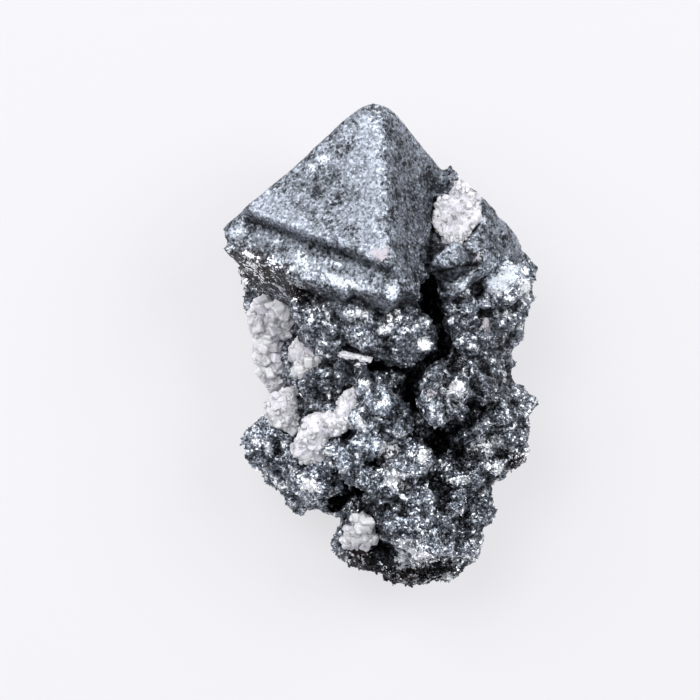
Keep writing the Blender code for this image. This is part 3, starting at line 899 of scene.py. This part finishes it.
def hematite_material(name, dark, light, tilt):
    """Steel-grey metal grains with torn patches of painted sheen, glint, shade and crust, as the mesh asks.
    """
    material, tree, output = new_material(name)
    position = add_node(tree, "ShaderNodeTexCoord").outputs["Object"]
    painted_brown_share = attribute(tree, "brown")
    smooth = attribute(tree, "smooth_share")
    calm = attribute(tree, "calm")
    grain_colour = cells(tree, position, TONE_GRAIN)["Color"]
    one_grain = add_node(tree, "ShaderNodeSeparateColor", {}, {0: grain_colour}).outputs[0]
    fine = clouds(tree, position, FINE_CLOUD, 2.0, 0.6)
    wide = clouds(tree, position, WIDE_CLOUD, 5.0, 0.68)

    # painted sheen in patches and flecks is cut at one level from two sizes of noise, so all have torn rims
    painted_sheen_parts = (
        (attribute(tree, "lustre"), 0.42),
        (attribute(tree, "flecks"), 0.13),
        (painted_brown_share, -0.10),
        (one_grain, 0.12),
        (combined(tree, "MULTIPLY", one_grain, painted_brown_share), 0.19),
        (fine, 0.6),
        (wide, 1.1),
    )
    level = weighted_sum(tree, painted_sheen_parts)
    painted_sheen_cut = carried(tree, level, PAINTED_SHEEN_CUT, smooth=True)

    # below that, the grey goes from dark to light over the same clouds, and is lighter near the painted sheen
    grey_share = carried(tree, level, GREY_RANGE, smooth=True)
    grey = mixed_colour(tree, grey_share, linear(dark), linear(light))
    # a dark warm brown is painted as shade where the mesh asks for it
    with_painted_brown = mixed_colour(tree, painted_brown_share, grey, linear(PAINTED_SHADE_BROWN))
    face_without_painted_brown = carried(tree, combined(tree, "SUBTRACT", smooth, painted_brown_share))
    painted_sheen_colour = mixed_colour(tree, face_without_painted_brown, linear(PAINTED_SHEEN_ON_ROUGH), linear(PAINTED_SHEEN_ON_FACE))
    bright = mixed_colour(tree, painted_sheen_cut, with_painted_brown, painted_sheen_colour)

    # painted shade darkens the hollows, each grain and small crystal has its own tone, and the listed painted
    # shades and lights come on top
    strength = carried(tree, attribute(tree, "hollow"), HOLLOW_RANGE, HOLLOW_LIGHT)
    tones = (
        carried(tree, one_grain, new=GRAIN_TONES),
        attribute(tree, "shade"),
        combined(tree, "ADD", attribute(tree, "tone"), 0.5),
    )
    for own_tone in tones:
        strength = combined(tree, "MULTIPLY", strength, own_tone)
    shaded = scaled(tree, bright, strength)

    # the heart of a patch is an unbroken painted glint, bright from every side
    painted_glint_parts = ((attribute(tree, "film"), 1.0), (one_grain, 0.3), (fine, 1.3), (wide, 1.6))
    painted_glint_cut = carried(tree, weighted_sum(tree, painted_glint_parts), PAINTED_GLINT_CUT, smooth=True)
    film = mixed_colour(tree, smooth, linear(PAINTED_GLINT_ON_ROUGH), linear(PAINTED_GLINT_ON_FACE))
    with_painted_glint = mixed_colour(tree, painted_glint_cut, shaded, film)

    # a thin pinkish crust dulls the metal in a few spots
    crust_parts = ((attribute(tree, "crust"), 1.0), (fine, 2.0), (one_grain, 0.3))
    crust_cut = carried(tree, weighted_sum(tree, crust_parts), CRUST_CUT, smooth=True)
    colour = mixed_colour(tree, crust_cut, with_painted_glint, linear(CRUST_PALE))
    crust_or_painted_glint = combined(tree, "MAXIMUM", crust_cut, painted_glint_cut)

    # the normal leans another way in each grain, and less where the surface is calm
    coarse_lean = leaning(tree, position, GRAIN, tilt)
    fine_lean = leaning(tree, position, FINE_GRAIN, tilt * FINE_TILT)
    lean = scaled(tree, added(tree, coarse_lean, fine_lean), carried(tree, calm, new=(1.0, LEAN_ON_FACE)))
    leaned = added(tree, add_node(tree, "ShaderNodeNewGeometry").outputs["Normal"], lean)
    normal = add_node(tree, "ShaderNodeVectorMath", {"operation": "NORMALIZE"}, {0: leaned}).outputs[0]
    end_in_shader(
        tree,
        output,
        {
            "Base Color": colour,
            "Metallic": carried(tree, crust_or_painted_glint, new=METAL),
            "Roughness": carried(tree, calm, new=(ROUGHNESS, FACE_ROUGHNESS)),
            "Normal": normal,
        },
    )
    return material


hematite = hematite_material("hematite_grains", HEMATITE_DARK, HEMATITE_LIGHT, GRAIN_TILT)
skin.data.materials.clear()
skin.data.materials.append(hematite)
skin.data.polygons.foreach_set("material_index", np.zeros(len(skin.data.polygons), np.int32))
skin.data.shade_smooth()
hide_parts("hematite_crystals")
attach(skin, "root")
print("skin triangles:", triangle_count(skin.data))

# %% [markdown]
# ## Small crystals all over
#
# The sparkle of the rough growth comes from thousands of separate crystals: thin plates that stand at all
# angles and small octahedra that stay near the direction of the big ones. Placing them one by one would be
# endless, and a particle system would not survive the export. A small tree of geometry nodes does it: it
# scatters points on the skin, more of them where a mask says so, puts a crystal on each, and makes the result
# one mesh.

# %% Crystal shapes, one metre across, to be scaled down
PLATE_WIDTH = 0.42
PLATE_THICKNESS = 0.12
PLATE_NARROWING = (0.85, 0.6)
STRETCH = (1.0, 0.7)
BLOCK_SIZE = 0.75
BLOCK_SKEW = 0.13
BLOCK_WIDTH = (0.6, 0.9)
BLOCK_HEIGHT = (0.7, 1.1)
BLOCK_WEAR = 0.09
BLOCK_SEEDS = (3, 8, 14, 21)


def shape_collection(name, shapes):
    """A hidden collection of shapes for the scattering to pick from."""
    collection = bpy.data.collections.new(name)
    for number, shape in enumerate(shapes):
        mesh = bpy.data.meshes.new(f"{name}_{number}")
        shape.to_mesh(mesh)
        shape.free()
        collection.objects.link(bpy.data.objects.new(f"{name}_{number}", mesh))
    return collection


def plate(narrowing):
    """A thin long plate, narrower at one end."""
    shape = bmesh.new()
    bmesh.ops.create_cube(shape, size=1.0)
    bmesh.ops.scale(shape, vec=(1.0, PLATE_WIDTH, PLATE_THICKNESS), verts=shape.verts)
    for corner in shape.verts:
        if corner.co.x > 0:
            corner.co.y *= narrowing
    bmesh.ops.triangulate(shape, faces=shape.faces)
    return shape


def small_octahedron(stretch):
    """An octahedron with one axis longer or shorter than the others."""
    shape = bmesh.new()
    bmesh.ops.create_uvsphere(shape, u_segments=4, v_segments=2, radius=0.5)
    bmesh.ops.scale(shape, vec=(1.0, stretch, 1.0), verts=shape.verts)
    return shape


def broken_block(seed):
    """A blocky grain: a skewed box with worn edges."""
    chance = random.Random(seed)
    shape = bmesh.new()
    bmesh.ops.create_cube(shape, size=BLOCK_SIZE)
    for corner in shape.verts:
        corner.co += Vector([chance.uniform(-BLOCK_SKEW, BLOCK_SKEW) for _ in range(3)])
    sides = (1.0, chance.uniform(*BLOCK_WIDTH), chance.uniform(*BLOCK_HEIGHT))
    bmesh.ops.scale(shape, vec=sides, verts=shape.verts)
    bmesh.ops.bevel(shape, geom=shape.edges[:], offset=BLOCK_WEAR, segments=1, affect="EDGES")
    bmesh.ops.triangulate(shape, faces=shape.faces)
    return shape


plates = shape_collection("plate", [plate(narrowing) for narrowing in PLATE_NARROWING])
octahedra = shape_collection("octahedron", [small_octahedron(stretch) for stretch in STRETCH])
blocks = shape_collection("block", [broken_block(seed) for seed in BLOCK_SEEDS])

# %% [markdown]
# ### The tree of nodes
#
# It has named inputs, so one tree serves every growth: which shapes, where, how many, how large, how far they
# lean and sink in. All its seeds are fixed. At its end the crystals are made real and get their material,
# because instances would be lost in the export.

# %% The tree that grows crystals on a surface
PER_SQUARE_MM = 1e6  # geometry nodes count per square metre
SIZE_SEED = 1
TURN_SEED = 2
TONE_SEED = 3
FEW_LARGE = 2.0  # the power that makes small crystals common and large ones rare
TREE_INPUTS = {
    "Surface": "Geometry",
    "Crystals": "Collection",
    "Where": "String",
    "Per Square mm": "Float",
    "Smallest": "Float",
    "Largest": "Float",
    "Lean": "Float",
    "Sink": "Float",
    "Seed": "Int",
    "Keep Surface": "Bool",
    "Finish": "Material",
}


def random_value(tree, kind, inputs):
    """The output of a node that draws at random."""
    node = add_node(tree, "FunctionNodeRandomValue", {"data_type": kind}, inputs)
    return node.outputs[0 if kind == "FLOAT_VECTOR" else 1]


def growth_tree():
    """The tree of nodes that scatters crystals on a surface."""
    tree = bpy.data.node_groups.new("crystals_on_a_surface", "GeometryNodeTree")
    for name, kind in TREE_INPUTS.items():
        tree.interface.new_socket(name, in_out="INPUT", socket_type=f"NodeSocket{kind}")
    tree.interface.new_socket("Mesh", in_out="OUTPUT", socket_type="NodeSocketGeometry")
    given = tree.nodes.new("NodeGroupInput").outputs

    mask = add_node(tree, "GeometryNodeInputNamedAttribute", {"data_type": "FLOAT"}, {"Name": given["Where"]})
    masked = combined(tree, "MULTIPLY", mask.outputs["Attribute"], given["Per Square mm"])
    density = combined(tree, "MULTIPLY", masked, PER_SQUARE_MM)
    spots = add_node(
        tree,
        "GeometryNodeDistributePointsOnFaces",
        {"distribute_method": "RANDOM"},
        {"Mesh": given["Surface"], "Density": density, "Seed": given["Seed"]},
    ).outputs

    # many small crystals and few large ones: a random share is squared before it sets the size
    squared = combined(tree, "POWER", random_value(tree, "FLOAT", {"Seed": SIZE_SEED}), FEW_LARGE)
    size = carried(tree, squared, new=(given["Smallest"], given["Largest"]))

    # each crystal leans a random way from the normal, and turns freely about it
    sides = {0: given["Lean"], 1: given["Lean"], 2: math.pi}
    reach = add_node(tree, "ShaderNodeCombineXYZ", {}, sides).outputs[0]
    turn = random_value(tree, "FLOAT_VECTOR", {0: scaled(tree, reach, -1.0), 1: reach, "Seed": TURN_SEED})
    turned = add_node(tree, "FunctionNodeEulerToRotation", {}, {"Euler": turn}).outputs[0]
    turns = {"Rotation": spots["Rotation"], "Rotate By": turned}
    rotation = add_node(tree, "FunctionNodeRotateRotation", {"rotation_space": "LOCAL"}, turns).outputs[0]

    depth = combined(tree, "MULTIPLY", size, given["Sink"])
    offset = scaled(tree, spots["Normal"], combined(tree, "MULTIPLY", depth, -1.0))
    shapes = {"Collection": given["Crystals"], "Separate Children": True, "Reset Children": True}
    picked = add_node(tree, "GeometryNodeCollectionInfo", {}, shapes).outputs[0]
    where = {"Points": spots["Points"], "Rotation": rotation, "Scale": size}
    what = {"Instance": picked, "Pick Instance": True}
    placed = add_node(tree, "GeometryNodeInstanceOnPoints", {}, {**where, **what}).outputs[0]
    move = {"Instances": placed, "Translation": offset, "Local Space": False}
    sunk = add_node(tree, "GeometryNodeTranslateInstances", {}, move).outputs[0]
    toned = add_node(
        tree,
        "GeometryNodeStoreNamedAttribute",
        {"data_type": "FLOAT", "domain": "INSTANCE"},
        {"Geometry": sunk, "Name": "tone", "Value": random_value(tree, "FLOAT", {"Seed": TONE_SEED})},
    ).outputs[0]
    choice = {"Switch": given["Keep Surface"], "True": given["Surface"]}
    kept = add_node(tree, "GeometryNodeSwitch", {"input_type": "GEOMETRY"}, choice).outputs[0]
    joined = tree.nodes.new("GeometryNodeJoinGeometry")
    tree.links.new(toned, joined.inputs[0])
    tree.links.new(kept, joined.inputs[0])
    real = add_node(tree, "GeometryNodeRealizeInstances", {}, {"Geometry": joined.outputs[0]}).outputs[0]
    finished = add_node(tree, "GeometryNodeSetMaterial", {}, {"Geometry": real, "Material": given["Finish"]})
    output = tree.nodes.new("NodeGroupOutput")
    tree.links.new(finished.outputs[0], output.inputs[0])
    return tree


growing = growth_tree()
IDENTIFIERS = {item.name: item.identifier for item in growing.interface.items_tree if item.in_out == "INPUT"}
GROWTH_VALUES = ("Crystals", "Where", "Per Square mm", "Smallest", "Largest", "Lean", "Sink", "Seed")
GROWTH_MARGIN = 0.3  # mm, no crystal stands out of the box of the solids by more


def grow(surface, name, values, finish, keep_surface):
    """Grows crystals on a surface and gives them back as one plain mesh object."""
    modifier = surface.modifiers.new("growth", "NODES")
    modifier.node_group = growing
    settings = {**dict(zip(GROWTH_VALUES, values)), "Finish": finish, "Keep Surface": keep_surface}
    for label, value in settings.items():
        modifier[IDENTIFIERS[label]] = value
    mesh = evaluated_mesh(surface)
    mesh.name = name
    surface.modifiers.remove(modifier)
    grown = Net(mesh)
    places = np.clip(grown.points(), low - GROWTH_MARGIN * MM, high + GROWTH_MARGIN * MM)
    places[:, 2] = np.maximum(places[:, 2], 0)
    grown.move_to(places)
    print(name, "has", triangle_count(mesh), "triangles")
    return linked(name, mesh)


print("inputs of the tree:", ", ".join(IDENTIFIERS))

# %% [markdown]
# ### Three growths on the hematite
#
# Plates and octahedra get the same hematite, a little lighter, but their grains lean less, because each
# crystal already shows flat mirrors of its own. The smooth faces only carry the finest grains.

# %% Crystals on the hematite
CRYSTALLITE_DARK = "4b4f55"
CRYSTALLITE_LIGHT = "858b95"
CRYSTALLITE_TILT = 0.6
HEMATITE_GROWTHS = {
    # crystals, their mask, how many on a square mm, the smallest and the largest, lean, sink and seed
    "hematite_plates": (plates, "plate_where", 6.0, 0.25 * MM, 0.75 * MM, 1.2, 0.05, 5),
    "hematite_small_octahedra": (octahedra, "rough_where", 6.0, 0.18 * MM, 0.85 * MM, 0.9, 0.2, 9),
    "hematite_face_grains": (octahedra, "face_where", 7.0, 0.10 * MM, 0.3 * MM, 0.9, 0.2, 12),
}

crystal_looks = (CRYSTALLITE_DARK, CRYSTALLITE_LIGHT, CRYSTALLITE_TILT)
crystallite = hematite_material("hematite_crystallites", *crystal_looks)
for name, values in HEMATITE_GROWTHS.items():
    growth = grow(skin, name, values, crystallite, False)
    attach(growth, "root")

# %% [markdown]
# ## The pale grains
#
# A milky, slightly see-through mineral fills the hollows. Light goes a short way into it before it comes out
# again, which softens every edge, so the shader needs some subsurface light. Its tone changes from grain to
# grain between clear and milky.

# %% Pale mineral
PALE_CLEAR = "dad7e0"
PALE_MILKY = "f6f4f8"
CRUST_CLEAR = "c0bdc5"
CRUST_MILKY = "e9e7ec"
MOTTLING = 1.1  # mm
MILKY_RANGE = (0.45, 1.05)
PALE_GRAIN = 0.45  # mm
PALE_ROUGHNESS = 0.38
LIGHT_DEPTH = 1.0 * MM  # how deep light goes into the mineral
LIGHT_REACH = (1.0, 0.95, 1.0)
BUMP_STRENGTH = 0.35
BUMP_DEPTH = 0.10 * MM


def pale_material(name, clear, milky, subsurface, clearness):
    """A milky mineral, mottled and a little uneven."""
    material, tree, output = new_material(name)
    position = add_node(tree, "ShaderNodeTexCoord").outputs["Object"]
    mottling = clouds(tree, position, MOTTLING, 4.0, 0.6)
    level = weighted_sum(tree, ((mottling, 1.0), (attribute(tree, "tone"), 0.7)))
    milkiness = carried(tree, level, MILKY_RANGE, smooth=True)
    grain_height = cells(tree, position, PALE_GRAIN)["Distance"]
    uneven = {"Strength": BUMP_STRENGTH, "Distance": BUMP_DEPTH, "Height": grain_height}
    end_in_shader(
        tree,
        output,
        {
            "Base Color": mixed_colour(tree, milkiness, linear(clear), linear(milky)),
            "Roughness": PALE_ROUGHNESS,
            "Subsurface Weight": subsurface,
            "Transmission Weight": clearness,
            "Subsurface Radius": LIGHT_REACH,
            "Subsurface Scale": LIGHT_DEPTH,
            "Normal": add_node(tree, "ShaderNodeBump", {}, uneven).outputs["Normal"],
        },
    )
    return material


pale = pale_material("milky_pale_mineral", PALE_CLEAR, PALE_MILKY, 0.6, 0.15)
white = pale_material("milky_white_crust", CRUST_CLEAR, CRUST_MILKY, 0.7, 0.0)
print("pale materials:", pale.name, "and", white.name)

# %% [markdown]
# ### The shapes of the pale grains
#
# They are blocks that grew against each other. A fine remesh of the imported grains, softened and roughened,
# keeps them where they sit and closes the narrow seat around them. The same tree then grows broken blocks on
# it, larger ones on the chains of grains and fine ones on the vein, the crust and the sliver.

# %% Seven groups of pale grains
PALE_CELL = 0.16 * MM
PALE_SOFTENING = 2
PALE_TONE = 0.4
PALE_BLOCK = 1.6  # mm
PALE_CHIP = 0.7
PALE_LEAN = 1.5
PALE_SINK = 0.12
FIRST_PALE_SEED = 20
PALE_GROUPS = {
    # material, reach over the seat and relief in mm, grains on a square mm, smallest and largest in mm
    "pale_crystals_left": (pale, 0.2, 0.4, 1.0, 0.7, 2.2),
    "pale_crystals_upper": (pale, 0.2, 0.4, 1.0, 0.6, 2.0),
    "pale_knob_left": (pale, 0.2, 0.4, 1.0, 0.6, 1.9),
    "pale_vein": (white, 0.18, 0.35, 1.4, 0.2, 0.9),
    "pale_crystals_bottom": (pale, 0.1, 0.4, 0.8, 0.7, 2.0),
    "pale_crust_right": (white, 0.25, 0.5, 1.0, 0.3, 1.2),
    "pale_sliver": (white, -0.2, 0.3, 1.5, 0.15, 0.4),
}


def pale_relief(point):
    """Blocks with chips broken off them."""
    return facets(point, PALE_BLOCK) + 0.5 * facets(point, PALE_CHIP)


for number, (node, (finish, reach, relief, density, smallest, largest)) in enumerate(PALE_GROUPS.items()):
    core = remeshed(welded_copy(node, f"{node}_core"), PALE_CELL)
    grains = Net(core.data)
    rounded = grains.averaged(grains.points(), PALE_SOFTENING)
    grains.move_to(rounded)
    outwards = grains.normals()
    growth = np.array([reach + relief * pale_relief(Vector(point / MM)) for point in rounded])
    grains.move_to(rounded + outwards * (growth * MM)[:, None])
    grains.store("everywhere", np.ones(grains.count))
    grains.store("tone", np.full(grains.count, PALE_TONE))
    sizes = (smallest * MM, largest * MM)
    values = (blocks, "everywhere", density, *sizes, PALE_LEAN, PALE_SINK, FIRST_PALE_SEED + number)
    piece = grow(core, f"{node}_grown", values, finish, True)
    bpy.data.objects.remove(core)
    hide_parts(node)
    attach(piece, "root")

# %% [markdown]
# ## Floor and light
#
# A plain pale floor lit from above like a light table gives the even, nearly white ground of a product
# photograph. One large soft light stands at the upper left, where the upper left face of the big crystal
# throws it to the camera. The rest of the room is a dim grey, because a metal shows what surrounds it: a
# white room would make it white.

# %% Floor, lights and background
FLOOR_SIZE = 3.0
FLOOR_GREY = "7a7a7e"
FLOOR_GLOW = "f6f5f7"
FLOOR_STRENGTH = 0.69
FLOOR_ROUGHNESS = 0.9
ROOM_GREY = "c8cbd2"
ROOM_STRENGTH = 0.65
LIGHTS_AIM = Vector((0, 0, 0.01))
LIGHTS = {
    # the direction that it shines from, its distance and its width in metres, and its power in watts
    "key": (Vector((-0.654, 0.472, 0.591)), 0.6, 0.65, 2.6),
    "top": (Vector((-0.25, 0.35, 0.9)), 0.65, 0.3, 1.5),
    "fill": (Vector((0.65, 0.3, 0.7)), 0.7, 0.4, 3.2),
}

floor_mesh = bpy.data.meshes.new("floor")
floor_shape = bmesh.new()
bmesh.ops.create_grid(floor_shape, x_segments=1, y_segments=1, size=FLOOR_SIZE / 2)
floor_shape.to_mesh(floor_mesh)
floor_shape.free()
floor = linked("floor", floor_mesh)

floor_material, floor_tree, floor_output = new_material("matt_white_board")
end_in_shader(
    floor_tree,
    floor_output,
    {
        "Base Color": linear(FLOOR_GREY),
        "Roughness": FLOOR_ROUGHNESS,
        "Emission Color": linear(FLOOR_GLOW),
        "Emission Strength": FLOOR_STRENGTH,
    },
)
floor_mesh.materials.append(floor_material)


def soft_light(name, direction, distance, size, power):
    """A square soft light that looks at the specimen from a direction."""
    light = bpy.data.lights.new(name, "AREA")
    light.shape = "SQUARE"
    light.size = size
    light.energy = power
    lamp = linked(name, light)
    lamp.location = direction.normalized() * distance + LIGHTS_AIM
    lamp.rotation_euler = direction.to_track_quat("Z", "Y").to_euler()


for name, light_values in LIGHTS.items():
    soft_light(name, *light_values)

world = bpy.data.worlds.new("dim_room")
world.use_nodes = True
background = world.node_tree.nodes["Background"]
background.inputs["Color"].default_value = linear(ROOM_GREY)
background.inputs["Strength"].default_value = ROOM_STRENGTH
bpy.context.scene.world = world
bpy.context.scene.view_settings.view_transform = "Standard"
bpy.context.scene.view_settings.look = "None"
print("lights:", ", ".join(LIGHTS))
